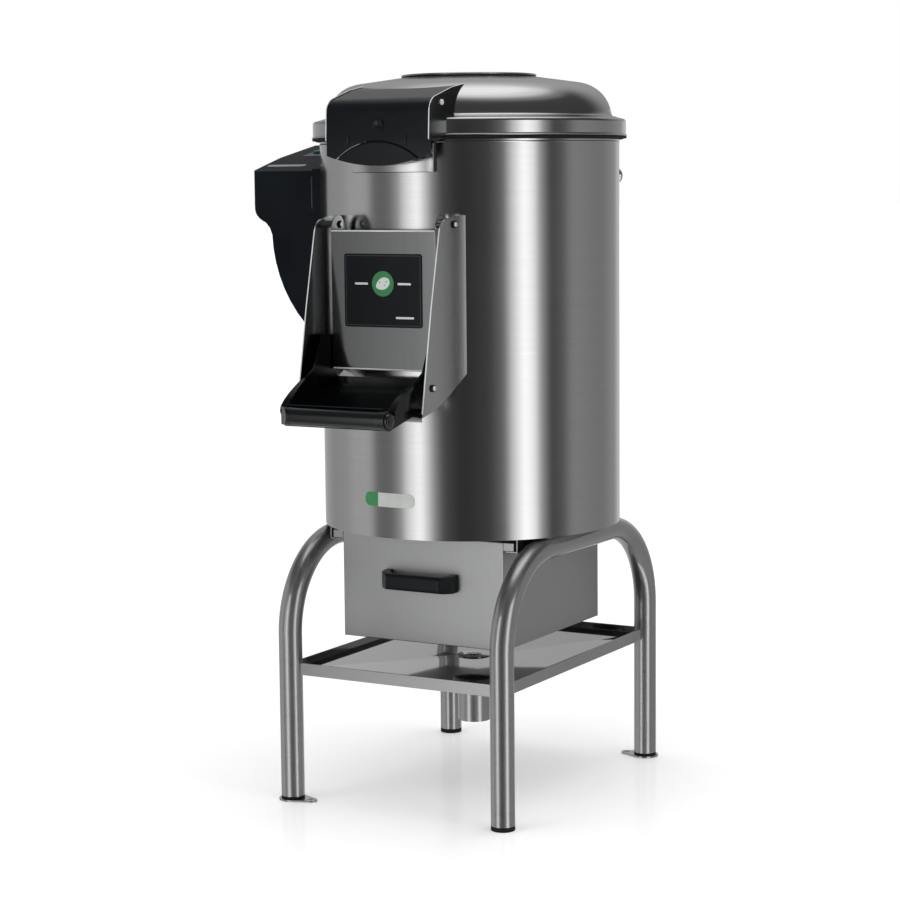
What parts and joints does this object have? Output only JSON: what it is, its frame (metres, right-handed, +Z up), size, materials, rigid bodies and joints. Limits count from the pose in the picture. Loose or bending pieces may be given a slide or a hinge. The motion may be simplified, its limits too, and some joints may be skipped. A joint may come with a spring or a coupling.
{
  "type": "electric potato peeler",
  "caption": "Floor-standing electric potato peeler: round steel drum with abrasive disc, hinged lid, discharge door and tray, control housing and waste drawer on a tubular stand.",
  "frame": {"origin": "point on the floor under the drum's axis, midway between the two bolted feet", "axes": "+Z up along the drum's axis, -Y towards the operator and the discharge tray, +X to the operator's right, away from the control housing"},
  "size_m": [0.568, 0.6663, 1.0774],
  "materials": {
    "brushed": "brushed stainless steel",
    "satin": "satin stainless steel",
    "polished": "polished stainless steel",
    "black_plastic": "moulded, semi-gloss",
    "black_rubber": "matt",
    "abrasive": "coarse silicon carbide coating",
    "cast": "machined castings",
    "motor_paint": "painted",
    "panel": "printed foil on a plate",
    "green": "moulded",
    "red": "moulded",
    "magnet": "ferrite"
  },
  "bodies": {
    "machine": {"left_leg_frame": "satin", "right_leg_frame": "satin", "foot_plugs": "black_rubber", "floor_flanges": "satin", "drain_pan": "polished", "drain_pipe": "satin", "drawer_runners": "satin", "base_studs": "satin", "drum_base": "satin", "drum_shell": "brushed", "abrasive_lining": "abrasive", "chamber_floor": "satin", "waste_duct": "satin", "bearing_housing": "cast", "shaft_bearings": "polished", "motor_bracket": "satin", "motor": "motor_paint", "drive_belt": "black_rubber", "door_frame": "satin", "left_chute_cheek": "satin", "right_chute_cheek": "satin", "chute_tie": "satin", "door_pivot_screws": "polished", "tray_pivot_screws": "polished", "striker_plate": "satin", "hinge_brackets": "satin", "hinge_pin": "polished", "housing_frame": "black_plastic", "control_housing": "black_plastic", "control_panel": "panel", "water_inlet": "polished", "cable_gland": "black_plastic"},
    "lid": {"lid_shell": "brushed", "lid_disc": "satin", "lid_gasket": "black_rubber", "left_lid_cheek": "satin", "right_lid_cheek": "satin", "lid_hinge_leaf": "satin", "latch_cover": "black_plastic", "paddle_pin": "polished"},
    "paddle": {"latch_paddle": "black_plastic", "paddle_magnet": "magnet"},
    "door": {"door_panel": "satin", "door_seal": "black_rubber", "door_label_plate": "panel"},
    "tray": {"tray_scoop": "black_plastic", "tray_grip_bar": "black_plastic", "grip_end_caps": "black_plastic"},
    "drawer": {"drawer_body": "satin", "drawer_rails": "satin", "drawer_filter": "satin", "drawer_handle": "black_plastic"},
    "disc": {"abrasive_disc": "abrasive", "main_shaft": "polished", "driven_pulley": "cast"},
    "rotor": {"motor_pulley": "cast"},
    "start": {"start_button": "green"},
    "stop": {"stop_button": "red"},
    "timer": {"timer_knob": "black_plastic"}
  },
  "joints": [
    {"name": "lid_hinge", "type": "hinge", "parent": "machine", "child": "lid", "pos_m": [0, 0.246, 0.99], "axis": [-1, 0, 0], "range_deg": [0, 100]},
    {"name": "paddle_hinge", "type": "hinge", "parent": "lid", "child": "paddle", "pos_m": [0, -0.258, 1], "axis": [-1, 0, 0], "range_deg": [0, 15], "stiffness_Nm_per_rad": 0.6},
    {"name": "door_hinge", "type": "hinge", "parent": "machine", "child": "door", "pos_m": [0, -0.2332, 0.8596], "axis": [-1, 0, 0], "range_deg": [0, 60]},
    {"name": "tray_hinge", "type": "hinge", "parent": "machine", "child": "tray", "pos_m": [0, -0.2976, 0.6342], "axis": [-1, 0, 0], "range_deg": [0, 70]},
    {"name": "drawer_slide", "type": "slide", "parent": "machine", "child": "drawer", "axis": [0, -1, 0], "range_m": [0, 0.28]},
    {"name": "disc_spin", "type": "hinge", "parent": "machine", "child": "disc", "pos_m": [0, 0, 0.556], "axis": [0, 0, 1], "continuous": true},
    {"name": "motor_spin", "type": "hinge", "parent": "machine", "child": "rotor", "pos_m": [0, 0.13, 0.556], "axis": [0, 0, 1], "continuous": true},
    {"name": "start_press", "type": "slide", "parent": "machine", "child": "start", "axis": [0, 0.1924, -0.9813], "range_m": [0, 0.0015], "stiffness_N_per_m": 600},
    {"name": "stop_press", "type": "slide", "parent": "machine", "child": "stop", "axis": [0, 0.1924, -0.9813], "range_m": [0, 0.0015], "stiffness_N_per_m": 600},
    {"name": "timer_turn", "type": "hinge", "parent": "machine", "child": "timer", "pos_m": [-0.268, 0.0458, 0.97032], "axis": [0, -0.1924, 0.9813], "range_deg": [-270, 0]}
  ],
  "couplings": [
    {"joint": "motor_spin", "follows": "disc_spin", "ratio": 2.7273}
  ]
}
